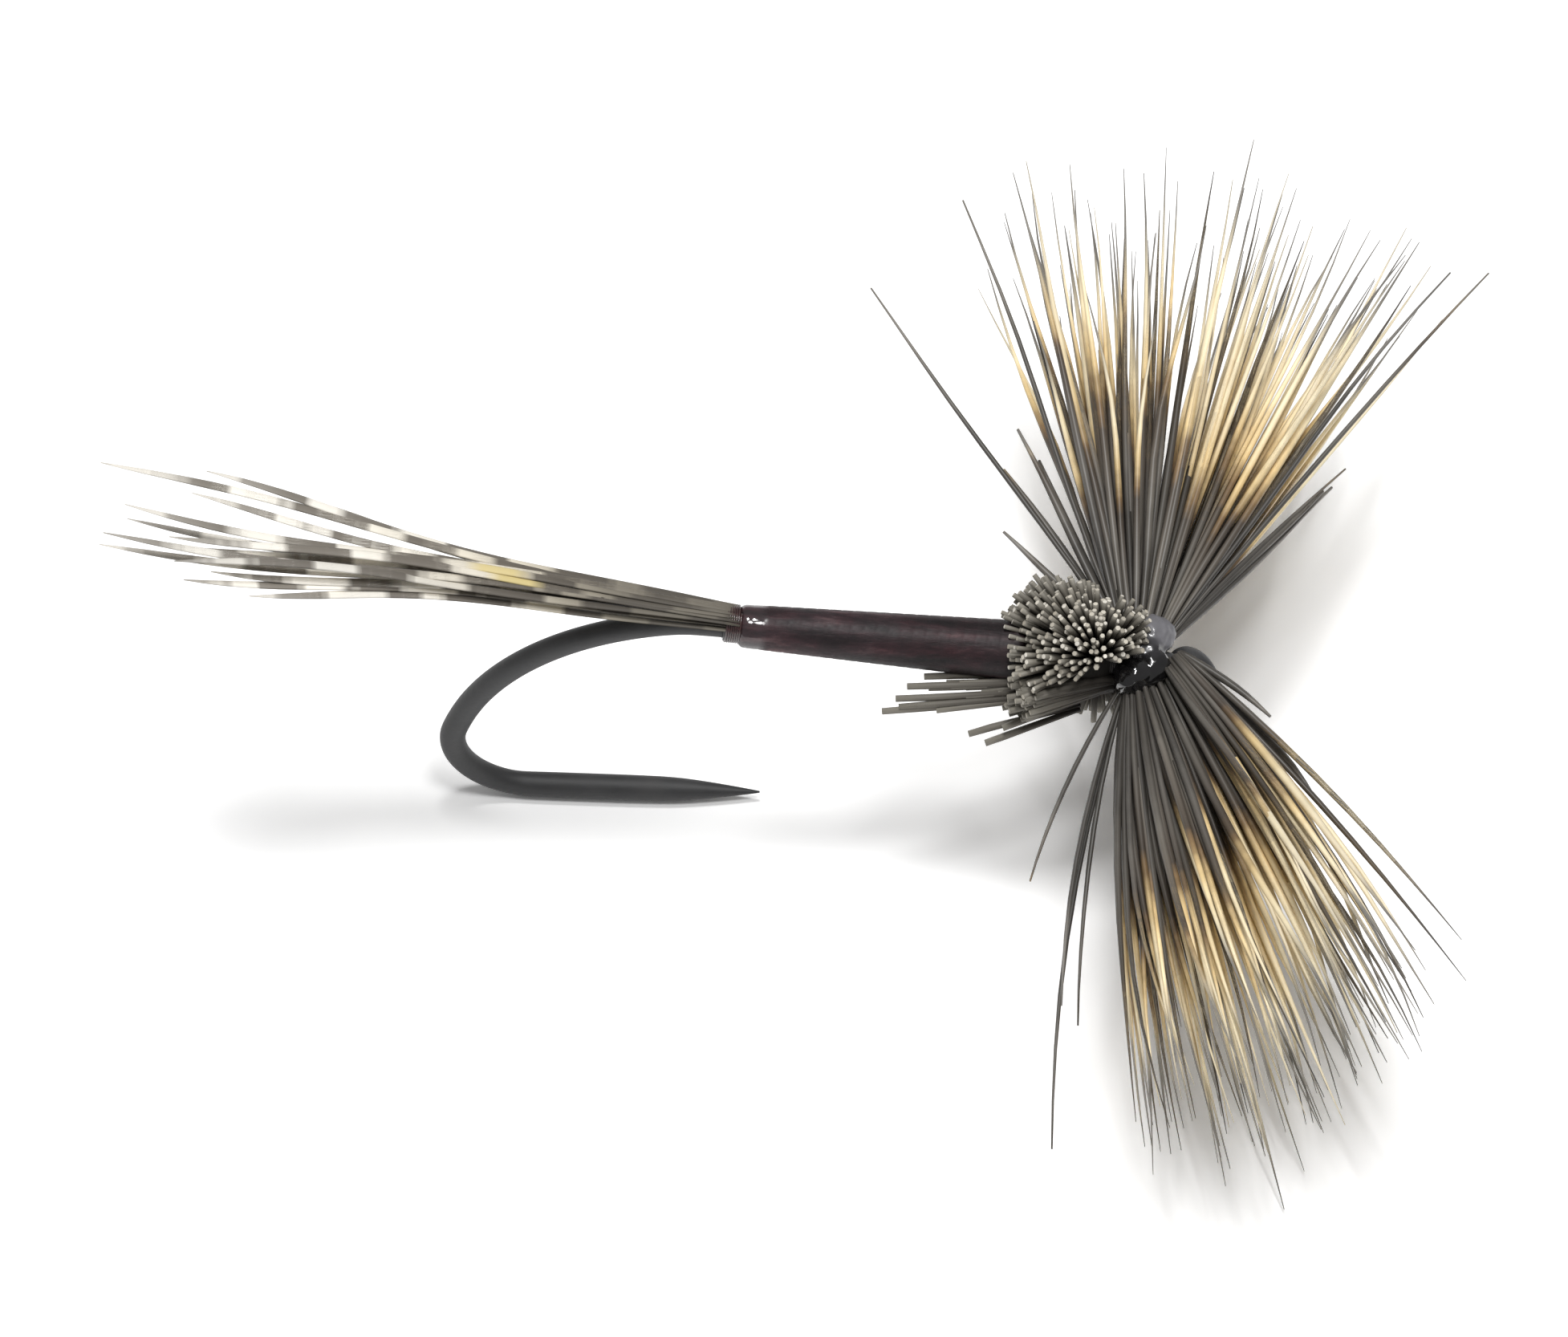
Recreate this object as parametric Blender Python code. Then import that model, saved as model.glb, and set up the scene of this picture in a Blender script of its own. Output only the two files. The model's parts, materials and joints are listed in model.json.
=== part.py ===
"""Hair-wing spinner dry fly on a barbless size 12 hook.

Metres, +Z up. The fly is laid out along its shank with +X towards the eye and the tail's tie-in
at X = 0, then pitched as a whole so that the hook's spear lies flat on the surface under it."""

import math
import random

import bmesh
import bpy
from mathutils import Matrix, Vector

# Hook, bent from one wire
WIRE_DIAMETER = 0.00052
FORGED_THICKNESS = 0.00046  # across the flats pressed on the sides of the bend
FORGED_FADE = math.radians(14)  # turn over which those flats begin and end
BEND_START = 0.0005  # behind the tail's tie-in
THROAT_RADIUS = 0.0031
THROAT_TURN = math.radians(17)
HEEL_RADIUS = 0.00545
HEEL_TURN = math.radians(65)
TOE_RADIUS = 0.001614
SPEAR_RISE = math.radians(5.8)  # the spear closes towards the shank
SPEAR_LENGTH = 0.0045
POINT_LENGTH = 0.0020  # the tapered end of the spear
POINT_DIAMETER = 0.00004
POINT_FULLNESS = 1.4  # 1 is a plain cone

# Eye, turned down from the shank
EYE_WIRE_DIAMETER = 0.00044
EYE_HOLE_DIAMETER = 0.00056
EYE_DROP = math.radians(40)
EYE_JOG_RADIUS = 0.00025  # side step of the wire from the shank's line into the ring
EYE_END_GAP = 0.00003  # between the wire's cut end and its neck
NECK_BEND_RADIUS = 0.0003

# Thread and lacquer
SEAT_GAP = 0.00002  # clearance between pieces that bear on one another
THREAD_THICKNESS = 0.00004
HAIR_LASHING_LENGTH = 0.00012
HAIR_LASHING_STEP = 0.00006  # slimmer than the cross wraps by this
CROSS_WRAP_DIAMETER = 0.00106
CROSS_WRAP_SHOULDER = 0.00010  # drop at each end of the barrel
HEAD_LENGTH = 0.00014
HEAD_STEP = 0.00003  # the coated head is slimmer than the cross wraps by this
CEMENT_THICKNESS = 0.00005

# Abdomen
ABDOMEN_LENGTH = 0.0057
ABDOMEN_REAR_DIAMETER = 0.00084
ABDOMEN_FRONT_DIAMETER = 0.00112
ABDOMEN_ROUND = 0.00004  # rounded rim at each end

# Tail
TAIL_ROWS = 2
FIBRES_PER_ROW = 7
TAIL_LENGTH = 0.0132
TAIL_SHORTEST = 0.72  # share of the full length
TAIL_SPREAD = math.radians(4.5)  # to each side
TAIL_YAW = math.radians(2.5)  # the whole tail leans to the left by this
TAIL_LIFT = math.radians(5)  # lowest row above the shank's line
TAIL_ROW_LIFT = math.radians(3)
TAIL_CURVE = 0.03  # upward bow as a share of the length
TAIL_LASHING_LENGTH = 0.00028
TAIL_LASHING_WALL = 0.00005
FIBRE_DIAMETER = 0.00007
FIBRE_TIP_DIAMETER = 0.000024
FIBRE_TAPER = ((0.15, 1.0), (0.4, 1.0), (0.65, 0.8), (0.85, 0.45), (1.0, 0.0))
FIBRE_ROW_ARCS = (math.radians(60), math.radians(34))  # half arc of each row over the shank

# Clipped butts of the hair
BUTT_LENGTH = 0.00158  # shank that they cover
BUTT_CORE_RADIUS = 0.00085
BUTT_CORE_REAR = math.radians(24)  # from the shank's line
BUTT_ROWS = 5
BUTTS_PER_ROW = 24
BUTT_WIDTH = 0.00011
BUTT_REAR_LEAN = math.radians(14)
BUTT_TOP_LEAN = math.radians(100)
BUTT_SIDE_LEAN = math.radians(72)  # beside the wings the stubs lie further back
BUTT_SHORTEST = 0.94
BALL_DIAMETER = 0.0029
BALL_SETBACK = 0.0006  # its centre behind the front of the butts
STRAY_FROM = math.radians(98)  # from the top, round the right side
STRAY_TO = math.radians(170)
STRAY_LENGTH = 0.0026
STRAY_SHORTEST = 0.5
STRAY_LEAN = math.radians(5)

# Wings
WING_ROOT_DIAMETER = 0.0010
WING_ROOT_SPREAD = math.radians(65)  # from the wing's line to the outermost hair on the root
HAIR_LENGTH = 0.0108
HAIR_SHORTEST = 0.84
HAIR_DIAMETER = 0.00017
HAIR_TIP_DIAMETER = 0.000024
HAIR_TAPER = ((0.12, 1.0), (0.5, 0.82), (0.8, 0.42), (1.0, 0.0))  # along the hair, fullness
HAIR_SAG = 0.02  # drop of the tip as a share of the length
HAIR_JITTER = math.radians(1.4)
WING_RISE = math.radians(20)  # fan above the wing's line
WING_DROP = math.radians(33)  # fan below it, which brings the lowest hairs to the surface
LEFT_WING_SWEEP = math.radians(6)
LEFT_WING_FAN = math.radians(28)
RIGHT_WING_SWEEP = math.radians(20)
RIGHT_WING_FAN = math.radians(23)
STRAND_MARGIN = 0.000018  # bare backing round a strand's root

# Facets
ROUND_SIDES = 16
FIBRE_SIDES = 4
ROOT_DIVISIONS = 3
ARC_STEP = math.radians(9)
CLOSING_STEP = math.radians(1)
POINT_STEPS = 4
SEED = 12

# Stations along the shank
thread_radius = WIRE_DIAMETER / 2 + SEAT_GAP + THREAD_THICKNESS
bore_radius = thread_radius + SEAT_GAP
butts_start = ABDOMEN_LENGTH + SEAT_GAP
butts_end = butts_start + BUTT_LENGTH
lashing_start = butts_end + SEAT_GAP
wing_station = butts_end + SEAT_GAP + WING_ROOT_DIAMETER / 2
cross_start = lashing_start + HAIR_LASHING_LENGTH + SEAT_GAP
cross_length = 2 * (wing_station - cross_start)
head_start = cross_start + cross_length + SEAT_GAP
head_end = head_start + HEAD_LENGTH
neck_start = head_end + SEAT_GAP
tail_front = -SEAT_GAP
tail_rear = tail_front - TAIL_LASHING_LENGTH
cross_radius = CROSS_WRAP_DIAMETER / 2
wing_seat = cross_radius + SEAT_GAP
head_radius = cross_radius - HEAD_STEP - CEMENT_THICKNESS - SEAT_GAP
up_from_surface = Vector((-math.sin(SPEAR_RISE), 0, math.cos(SPEAR_RISE)))


def material(name, colour, roughness, metallic=0.0):
    made = bpy.data.materials.new(name)
    made.use_nodes = True
    shader = made.node_tree.nodes["Principled BSDF"]
    shader.inputs["Base Color"].default_value = (*colour, 1)
    shader.inputs["Roughness"].default_value = roughness
    shader.inputs["Metallic"].default_value = metallic
    made.diffuse_color = (*colour, 1)
    return made


def add_piece(name, bm, finish, parent, location=(0, 0, 0)):
    bmesh.ops.recalc_face_normals(bm, faces=bm.faces)
    mesh = bpy.data.meshes.new(name)
    bm.to_mesh(mesh)
    bm.free()
    mesh.materials.append(finish)
    mesh.shade_smooth()
    mesh.set_sharp_from_angle(angle=math.radians(40))
    piece = bpy.data.objects.new(name, mesh)
    bpy.context.scene.collection.objects.link(piece)
    piece.parent = parent
    piece.location = location
    return piece


def ring(bm, centre, up, across, half_height, half_width, sides=ROUND_SIDES):
    """Corners of a regular outline whose flats face up, down and to both sides."""
    corner = 1 / math.cos(math.pi / sides)
    turns = [(k + 0.5) * 2 * math.pi / sides for k in range(sides)]
    return [
        bm.verts.new(
            centre
            + up * (corner * half_height * math.cos(turn))
            + across * (corner * half_width * math.sin(turn))
        )
        for turn in turns
    ]


def join_rings(bm, first, second):
    count = len(first)
    for k in range(count):
        after = (k + 1) % count
        bm.faces.new((first[k], first[after], second[after], second[k]))


def sweep(path, first_up, sides=ROUND_SIDES):
    """A closed tube along (point, half height, half width), with a flat cap at each end."""
    bm = bmesh.new()
    points = [step[0] for step in path]
    runs = [(b - a).normalized() for a, b in zip(points, points[1:])]
    up = first_up
    rings = []
    for k, (point, half_height, half_width) in enumerate(path):
        before = runs[max(k - 1, 0)]
        after = runs[min(k, len(runs) - 1)]
        along = (before + after).normalized()
        up = (up - along * up.dot(along)).normalized()
        across = along.cross(up)
        rings.append(ring(bm, point, up, across, half_height, half_width, sides))
    for first, second in zip(rings, rings[1:]):
        join_rings(bm, first, second)
    bm.faces.new(rings[0])
    bm.faces.new(rings[-1])
    return bm


def sleeve(profile, bore, lift=0.0):
    """A turned sleeve along X from (station, radius) with a plain bore, its axis lifted in Z."""
    bm = bmesh.new()
    outline = profile + [(profile[-1][0], bore), (profile[0][0], bore)]
    up, across = Vector((0, 0, 1)), Vector((0, 1, 0))
    rings = [ring(bm, Vector((x, 0, lift)), up, across, r, r) for x, r in outline]
    for k, first in enumerate(rings):
        join_rings(bm, first, rings[(k + 1) % len(rings)])
    return bm


def grow_strand(bm, face, steps):
    """Draws one face of the backing out into a strand through (point, corner radius)."""
    bmesh.ops.inset_individual(bm, faces=[face], thickness=STRAND_MARGIN, use_even_offset=True)
    last = face.calc_center_median()
    corners = [vert.co - last for vert in face.verts]
    for point, radius in steps:
        along = (point - last).normalized()
        face = bmesh.ops.extrude_discrete_faces(bm, faces=[face])["faces"][0]
        for vert, corner in zip(face.verts, corners):
            flat = corner - along * corner.dot(along)
            vert.co = point + flat.normalized() * radius
        last = point


def arc(start, heading, radius, turn, left, steps):
    """Points after start on an arc in the plane of heading and left; ends with the new heading."""
    points = []
    for k in range(1, steps + 1):
        angle = turn * k / steps
        points.append(
            start
            + heading * (radius * math.sin(angle))
            + left * (radius * (1 - math.cos(angle)))
        )
    new_heading = heading * math.cos(turn) + left * math.sin(turn)
    new_left = left * math.cos(turn) - heading * math.sin(turn)
    return points, new_heading, new_left


def arc_steps(turn):
    return max(2, math.ceil(turn / ARC_STEP))


def eye_path():
    """The wire from the eye's cut end round the ring and through the neck, and the eye's normal."""
    half_wire = WIRE_DIAMETER / 2
    half_eye = EYE_WIRE_DIAMETER / 2
    ring_radius = EYE_HOLE_DIAMETER / 2 + half_eye
    forward, down, side = Vector((1, 0, 0)), Vector((0, 0, -1)), Vector((0, 1, 0))
    start = Vector((neck_start, 0, 0))
    neck, forward, down = arc(
        start, forward, NECK_BEND_RADIUS, EYE_DROP, down, arc_steps(EYE_DROP)
    )
    jog_start = neck[-1]
    # The jog and the ring are two circles that touch, with the ring's centre on the neck's line.
    reach = math.sqrt(ring_radius**2 + 2 * ring_radius * EYE_JOG_RADIUS)
    jog_turn = math.atan2(reach, EYE_JOG_RADIUS)
    jog, _, _ = arc(
        jog_start, forward, EYE_JOG_RADIUS, jog_turn, side, arc_steps(jog_turn)
    )
    centre = jog_start + forward * reach
    first_angle = math.pi - math.atan2(EYE_JOG_RADIUS, reach)
    room = half_wire + EYE_END_GAP
    circle = []
    angle = first_angle
    step = ARC_STEP
    # The ring closes until its cut end is clear of the neck by no more than the gap.
    while step > CLOSING_STEP:
        out = forward * math.cos(angle - step) + side * math.sin(angle - step)
        point = centre + out * ring_radius
        cut_end = (point - out * half_eye, point, point + out * half_eye)
        nearest = min((p - q).length for p in cut_end for q in neck + jog)
        if angle - step < 0 and nearest < room:
            step /= 2
        else:
            angle -= step
            circle.append(point)
    eye = [(point, half_eye, half_eye) for point in reversed(circle)]
    for k, point in enumerate(reversed(jog)):
        half = half_eye + (half_wire - half_eye) * (k + 1) / len(jog)
        eye.append((point, half, half))
    eye += [(point, half_wire, half_wire) for point in reversed(neck)]
    return eye, -down


def bend_path():
    """The wire from the shank's rear end round the bend to the point, and the spear's first point."""
    half_wire = WIRE_DIAMETER / 2
    start = Vector((-BEND_START, 0, 0))
    heading, left = Vector((-1, 0, 0)), Vector((0, 0, -1))
    toe_turn = math.pi + SPEAR_RISE - THROAT_TURN - HEEL_TURN
    curve = [(start, 0.0)]
    turned = 0.0
    for radius, turn in (
        (THROAT_RADIUS, THROAT_TURN),
        (HEEL_RADIUS, HEEL_TURN),
        (TOE_RADIUS, toe_turn),
    ):
        steps = arc_steps(turn)
        points, heading, left = arc(curve[-1][0], heading, radius, turn, left, steps)
        curve += [(p, turned + turn * (k + 1) / steps) for k, p in enumerate(points)]
        turned += turn
    path = []
    for point, angle in curve:
        pressed = min(1.0, angle / FORGED_FADE, (turned - angle) / FORGED_FADE)
        half_width = half_wire + (FORGED_THICKNESS / 2 - half_wire) * pressed
        path.append((point, half_wire, half_width))
    spear_start = curve[-1][0]
    for k in range(POINT_STEPS + 1):
        share = k / POINT_STEPS
        point = spear_start + heading * (SPEAR_LENGTH - POINT_LENGTH * (1 - share))
        half = half_wire + (POINT_DIAMETER / 2 - half_wire) * share**POINT_FULLNESS
        path.append((point, half, half))
    return path, spear_start


def height_over_surface(point):
    _, spear_start = bend_path()
    return (point - spear_start).dot(up_from_surface) + WIRE_DIAMETER / 2


def build_hook(parent):
    finish = material("black_wire", (0.018, 0.018, 0.02), 0.38, 0.85)
    eye, eye_normal = eye_path()
    half_wire = WIRE_DIAMETER / 2
    neck = (Vector((neck_start, 0, 0)), half_wire, half_wire)
    bend, _ = bend_path()
    add_piece("hook", sweep(eye + [neck] + bend, eye_normal), finish, parent)


def build_thread(parent):
    finish = material("dark_thread", (0.02, 0.014, 0.013), 0.45)
    cement = material("head_cement", (0.012, 0.011, 0.012), 0.08)
    base_length = head_end - tail_rear
    base = sleeve(
        [(0, thread_radius), (base_length, thread_radius)], WIRE_DIAMETER / 2 + SEAT_GAP
    )
    add_piece("thread_base", base, finish, parent, (tail_rear, 0, 0))

    lashing_radius = cross_radius - HAIR_LASHING_STEP
    lashing = sleeve([(0, lashing_radius), (HAIR_LASHING_LENGTH, lashing_radius)], bore_radius)
    add_piece("hair_lashing", lashing, finish, parent, (lashing_start, 0, 0))

    end_radius = cross_radius - CROSS_WRAP_SHOULDER
    barrel = [
        (0, end_radius),
        (cross_length / 4, cross_radius),
        (cross_length * 3 / 4, cross_radius),
        (cross_length, end_radius),
    ]
    add_piece("cross_wraps", sleeve(barrel, bore_radius), finish, parent, (cross_start, 0, 0))

    head = sleeve([(0, head_radius), (HEAD_LENGTH, head_radius)], bore_radius)
    add_piece("head_wraps", head, finish, parent, (head_start, 0, 0))

    coat_bore = head_radius + SEAT_GAP
    coat = [
        (0, coat_bore + CEMENT_THICKNESS / 2),
        (HEAD_LENGTH / 2, coat_bore + CEMENT_THICKNESS),
        (HEAD_LENGTH, coat_bore + CEMENT_THICKNESS / 2),
    ]
    add_piece("head_cement", sleeve(coat, coat_bore), cement, parent, (head_start, 0, 0))


def build_abdomen(parent):
    finish = material("claret_lacquer", (0.055, 0.014, 0.014), 0.16)
    rear = ABDOMEN_REAR_DIAMETER / 2
    front = ABDOMEN_FRONT_DIAMETER / 2
    profile = [
        (0, rear - ABDOMEN_ROUND),
        (ABDOMEN_ROUND, rear),
        (ABDOMEN_LENGTH - ABDOMEN_ROUND, front),
        (ABDOMEN_LENGTH, front - ABDOMEN_ROUND),
    ]
    add_piece("abdomen", sleeve(profile, bore_radius), finish, parent)


def build_tail(parent):
    finish = material("barred_fibre", (0.42, 0.37, 0.27), 0.6)
    thread = material("tail_thread", (0.035, 0.012, 0.012), 0.3)
    rng = random.Random(SEED)
    half = FIBRE_DIAMETER / 2
    tip = FIBRE_TIP_DIAMETER / 2
    number = 0
    for row in range(TAIL_ROWS):
        radius = bore_radius + half + row * (FIBRE_DIAMETER + SEAT_GAP)
        for column in range(FIBRES_PER_ROW):
            number += 1
            across = 2 * column / (FIBRES_PER_ROW - 1) - 1
            turn = across * FIBRE_ROW_ARCS[row]
            root = Vector((tail_front, radius * math.sin(turn), radius * math.cos(turn)))
            yaw = TAIL_YAW + across * TAIL_SPREAD
            lift = TAIL_LIFT + row * TAIL_ROW_LIFT
            along = Vector((-math.cos(yaw), math.sin(yaw), math.tan(lift))).normalized()
            length = TAIL_LENGTH * rng.uniform(TAIL_SHORTEST, 1.0)
            out = Vector((-TAIL_LASHING_LENGTH - SEAT_GAP, 0, 0))
            path = [(Vector(), half, half), (out, half, half)]
            for share, fullness in FIBRE_TAPER:
                bow = Vector((0, 0, TAIL_CURVE * length * share**2))
                size = tip + (half - tip) * fullness
                path.append((out + along * (length * share) + bow, size, size))
            fibre = sweep(path, Vector((0, 0, 1)), FIBRE_SIDES)
            add_piece(f"tail_fibre_{number:02d}", fibre, finish, parent, root)
    bundle_top = bore_radius + TAIL_ROWS * (FIBRE_DIAMETER + SEAT_GAP)
    bore = (bundle_top + bore_radius) / 2
    outer = bore + TAIL_LASHING_WALL
    lift = bundle_top - bore
    lashing = sleeve([(0, outer), (TAIL_LASHING_LENGTH, outer)], bore, lift)
    add_piece("tail_lashing", lashing, thread, parent, (tail_rear, 0, 0))


def butt_end(root, along):
    """Where a stub from root meets the trimmed ball."""
    centre = Vector((-BALL_SETBACK, 0, 0))
    offset = root - centre
    middle = offset.dot(along)
    inside = (BALL_DIAMETER / 2) ** 2 - offset.length_squared
    return math.sqrt(middle**2 + inside) - middle


def build_butts(parent):
    """The hair's cut ends on a domed collar whose front face stands at the lashing."""
    finish = material("cut_hair", (0.14, 0.125, 0.10), 0.75)
    rng = random.Random(SEED)
    bm = bmesh.new()
    step = 2 * math.pi / BUTTS_PER_ROW
    rows = []
    for k in range(BUTT_ROWS + 1):
        angle = BUTT_CORE_REAR + (math.pi / 2 - BUTT_CORE_REAR) * k / BUTT_ROWS
        station = -BUTT_CORE_RADIUS * math.cos(angle)
        radius = BUTT_CORE_RADIUS * math.sin(angle)
        # Each row is turned half a step on, so that the stubs stand in a brick pattern.
        turns = [(j + k / 2) * step for j in range(BUTTS_PER_ROW)]
        rows.append(
            [bm.verts.new((station, -radius * math.sin(t), radius * math.cos(t))) for t in turns]
        )
    bore = bore_radius / math.cos(step / 2)
    rear_station = rows[0][0].co.x
    bores = [
        [
            bm.verts.new((x, -bore * math.sin(j * step), bore * math.cos(j * step)))
            for j in range(BUTTS_PER_ROW)
        ]
        for x in (0.0, rear_station)
    ]
    for first, second in zip(rows, rows[1:]):
        join_rings(bm, first, second)
    backing = list(bm.faces)
    join_rings(bm, rows[-1], bores[0])
    join_rings(bm, bores[0], bores[1])
    join_rings(bm, bores[1], rows[0])
    bmesh.ops.recalc_face_normals(bm, faces=bm.faces)
    corner = BUTT_WIDTH / math.sqrt(2)
    for index, face in enumerate(backing):
        root = face.calc_center_median()
        spread = Vector((0, root.y, root.z))
        around = math.atan2(-root.y, root.z) % (2 * math.pi)
        angle = math.atan2(spread.length, -root.x)
        front_lean = BUTT_TOP_LEAN + (BUTT_SIDE_LEAN - BUTT_TOP_LEAN) * math.sin(around) ** 2
        share = (angle - BUTT_CORE_REAR) / (math.pi / 2 - BUTT_CORE_REAR)
        lean = BUTT_REAR_LEAN + (front_lean - BUTT_REAR_LEAN) * share
        out = spread.normalized()
        along = Vector((-math.cos(lean), 0, 0)) + out * math.sin(lean)
        end = root + along * (butt_end(root, along) * rng.uniform(BUTT_SHORTEST, 1.0))
        steps = [(end, corner)]
        if index < BUTTS_PER_ROW and STRAY_FROM < around < STRAY_TO:
            drift = Vector((-math.cos(STRAY_LEAN), 0, 0)) + out * math.sin(STRAY_LEAN)
            steps.append((end + drift * (STRAY_LENGTH * rng.uniform(STRAY_SHORTEST, 1)), corner))
        grow_strand(bm, face, steps)
    add_piece("clipped_butts", bm, finish, parent, (butts_end, 0, 0))


def build_wing(name, side, sweep_angle, fan, finish, parent):
    """Hairs drawn out of a domed root that sits with its flat face against the cross wraps."""
    rng = random.Random(SEED + side)
    seat = Vector((wing_station, side * wing_seat, 0))
    bm = bmesh.new()
    bmesh.ops.create_icosphere(bm, subdivisions=ROOT_DIVISIONS, radius=WING_ROOT_DIAMETER / 2)
    inner = [face for face in bm.faces if face.calc_center_median().z < 0]
    bmesh.ops.delete(bm, geom=inner, context="FACES")
    bmesh.ops.contextual_create(bm, geom=[edge for edge in bm.edges if edge.is_boundary])
    bm.transform(Matrix.Rotation(-side * math.pi / 2, 4, "X"))
    bmesh.ops.recalc_face_normals(bm, faces=bm.faces)
    outwards = Vector((0, side, 0))
    full = HAIR_DIAMETER / 2
    tip = HAIR_TIP_DIAMETER / 2
    profile = [(share, tip + (full - tip) * fullness) for share, fullness in HAIR_TAPER]
    backing = [f for f in bm.faces if f.normal.angle(outwards) < WING_ROOT_SPREAD]
    for face in backing:
        root = face.calc_center_median()
        ahead = math.atan2(root.x, root.y * side)
        above = math.atan2(root.z, root.y * side)
        azimuth = sweep_angle + ahead * fan / WING_ROOT_SPREAD
        azimuth += rng.uniform(-HAIR_JITTER, HAIR_JITTER)
        rise = above * (WING_RISE if above > 0 else WING_DROP) / WING_ROOT_SPREAD
        rise += rng.uniform(-HAIR_JITTER, HAIR_JITTER)
        flat = math.cos(rise)
        along = Vector((math.sin(azimuth) * flat, side * math.cos(azimuth) * flat, math.sin(rise)))
        length = HAIR_LENGTH * rng.uniform(HAIR_SHORTEST, 1.0)
        # A hair that would reach below the surface ends on it.
        drop = HAIR_SAG - along.dot(up_from_surface)
        if drop > 0:
            length = min(length, (height_over_surface(seat + root) - tip) / drop)
        steps = []
        for share, radius in profile:
            sag = up_from_surface * (HAIR_SAG * length * share**2)
            steps.append((root + along * (length * share) - sag, radius))
        grow_strand(bm, face, steps)
    add_piece(name, bm, finish, parent, seat)


def build_wings(parent):
    finish = material("deer_hair", (0.30, 0.22, 0.12), 0.55)
    build_wing("left_wing", 1, LEFT_WING_SWEEP, LEFT_WING_FAN, finish, parent)
    build_wing("right_wing", -1, RIGHT_WING_SWEEP, RIGHT_WING_FAN, finish, parent)


def stand_on_surface(fly):
    """Pitches the fly until its spear is level, with the origin under the middle of its length."""
    fly.rotation_euler = (0, SPEAR_RISE, 0)
    bpy.context.view_layer.update()
    corners = [p.matrix_world @ v.co for p in fly.children for v in p.data.vertices]
    lengthwise = [corner.x for corner in corners]
    middle = (min(lengthwise) + max(lengthwise)) / 2
    fly.location = (-middle, 0, -min(corner.z for corner in corners))
    bpy.context.view_layer.update()


def main():
    for old in list(bpy.data.objects):
        bpy.data.objects.remove(old, do_unlink=True)
    fly = bpy.data.objects.new("fly", None)
    bpy.context.scene.collection.objects.link(fly)
    build_hook(fly)
    build_thread(fly)
    build_abdomen(fly)
    build_tail(fly)
    build_butts(fly)
    build_wings(fly)
    stand_on_surface(fly)


main()
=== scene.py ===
import json
import math
import random

import bpy
import numpy as np
from mathutils import Matrix, Vector, noise


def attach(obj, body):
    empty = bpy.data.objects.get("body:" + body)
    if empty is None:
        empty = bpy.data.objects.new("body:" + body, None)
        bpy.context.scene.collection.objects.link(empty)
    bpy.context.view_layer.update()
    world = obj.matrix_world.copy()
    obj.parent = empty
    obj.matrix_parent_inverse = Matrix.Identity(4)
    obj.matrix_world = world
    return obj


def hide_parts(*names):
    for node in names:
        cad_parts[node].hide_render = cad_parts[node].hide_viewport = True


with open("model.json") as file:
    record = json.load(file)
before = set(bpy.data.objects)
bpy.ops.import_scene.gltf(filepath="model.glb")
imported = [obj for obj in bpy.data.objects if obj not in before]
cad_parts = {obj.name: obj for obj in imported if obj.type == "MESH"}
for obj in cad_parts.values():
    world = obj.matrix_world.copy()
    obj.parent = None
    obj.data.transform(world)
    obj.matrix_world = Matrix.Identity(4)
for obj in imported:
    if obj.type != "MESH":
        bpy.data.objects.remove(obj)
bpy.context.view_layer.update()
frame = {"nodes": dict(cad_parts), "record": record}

mm = 0.001

# where the fly lies: local X runs along its shank towards the eye, from the tail's tie-in
fly = {
    "tieInFromSpear": Vector((2.8296, 0, 6.2979)) * mm,  # from the place where the spear rests
    "pitch": math.radians(5.8),  # head down, so that the spear lies flat
}
mounts = {mount["name"]: Vector(mount["pos_m"]) for mount in frame["record"]["mounts"]}
tailTieIn = mounts["spear_rest"] + fly["tieInFromSpear"]
flyPlace = Matrix.Translation(tailTieIn) @ Matrix.Rotation(fly["pitch"], 4, "Y")


# helpers for modelling

def addObject(name, data):
    obj = bpy.data.objects.new(name, data)
    bpy.context.scene.collection.objects.link(obj)
    return obj


def selectOnly(obj):
    bpy.ops.object.select_all(action="DESELECT")
    obj.select_set(True)
    bpy.context.view_layer.objects.active = obj


def applyModifier(obj, kind, **values):
    selectOnly(obj)
    modifier = obj.modifiers.new(kind.lower(), kind)
    for name, value in values.items():
        setattr(modifier, name, value)
    bpy.ops.object.modifier_apply(modifier=modifier.name)


def editAll(obj, *steps):  # runs edit-mode operators on the whole mesh
    selectOnly(obj)
    bpy.ops.object.mode_set(mode="EDIT")
    for operator, values in steps:
        bpy.ops.mesh.select_all(action="SELECT")
        operator(**values)
    bpy.ops.object.mode_set(mode="OBJECT")


def stretchBall(radii, centre):  # the active ball's own points, so that its object stays unscaled
    bpy.ops.object.mode_set(mode="EDIT")
    bpy.ops.mesh.select_all(action="SELECT")
    bpy.ops.transform.resize(value=radii)
    bpy.ops.transform.translate(value=centre)
    bpy.ops.object.mode_set(mode="OBJECT")


def joinPieces(parts):
    selectOnly(parts[0])
    for part in parts:
        part.select_set(True)
    bpy.ops.object.join()
    return bpy.context.view_layer.objects.active


def finishPiece(obj, name, material, slot, *nodes):
    obj.name = name
    obj.data.name = name
    obj.data.materials.clear()
    obj.data.materials.append(material)
    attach(obj, "root")
    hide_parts(*nodes)
    print("made", name, len(obj.data.polygons), "faces")


def setAttribute(mesh, name, values):
    attribute = mesh.attributes.get(name) or mesh.attributes.new(name, "FLOAT", "POINT")
    attribute.data.foreach_set("value", np.asarray(values, np.float32))


def pointsOf(mesh):
    places = np.empty(len(mesh.vertices) * 3, np.float32)
    mesh.vertices.foreach_get("co", places)
    return places.reshape(-1, 3)


# helpers for materials

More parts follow.
